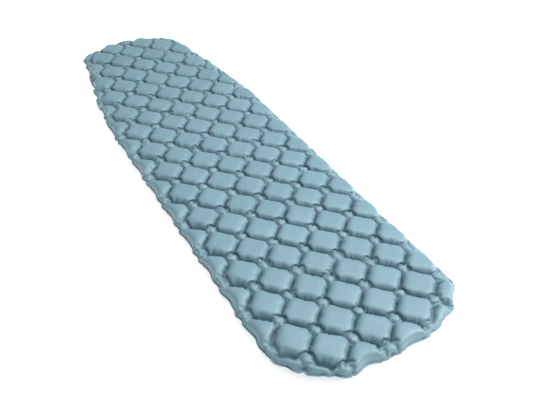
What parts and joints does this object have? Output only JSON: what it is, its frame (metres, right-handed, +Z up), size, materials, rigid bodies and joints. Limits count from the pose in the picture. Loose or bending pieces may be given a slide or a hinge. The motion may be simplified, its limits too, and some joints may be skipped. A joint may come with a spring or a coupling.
{
  "type": "inflatable sleeping pad",
  "caption": "Tapered inflatable sleeping pad of welded coated nylon with square air cells set diagonally and a flat two-stage valve under the foot end.",
  "frame": {"origin": "middle of the pad's underside, on the ground", "axes": "+Y from the wide head end to the narrow foot end, +Z up, +X across the pad"},
  "size_m": [0.5742, 1.8906, 0.055],
  "materials": {
    "skin_fabric": "satin",
    "valve_tpu": "satin",
    "valve_hard": "satin",
    "silicone": "matte"
  },
  "bodies": {
    "mat": {"upper_skin": "skin_fabric", "lower_skin": "skin_fabric", "valve_base": "valve_tpu", "plug_strap": "valve_tpu"},
    "deflation_plug": {"valve_plug": "valve_hard", "plug_gasket": "silicone", "flap_retainer": "valve_hard", "cap_strap": "valve_tpu"},
    "inflation_cap": {"valve_cap": "valve_tpu"},
    "flap": {"check_flap": "silicone"}
  },
  "joints": [
    {"name": "plug_hinge", "type": "hinge", "parent": "mat", "child": "deflation_plug", "pos_m": [0.01404, 0.83698, 0.00495], "axis": [0, -1, 0], "range_deg": [0, 120]},
    {"name": "cap_hinge", "type": "hinge", "parent": "deflation_plug", "child": "inflation_cap", "pos_m": [-0.02576, 0.83698, 0.00345], "axis": [0, 1, 0], "range_deg": [0, 150]},
    {"name": "flap_hinge", "type": "hinge", "parent": "deflation_plug", "child": "flap", "pos_m": [0.00044, 0.83698, 0.0123], "axis": [0, 1, 0], "range_deg": [0, 50], "stiffness_Nm_per_rad": 0.0002}
  ]
}
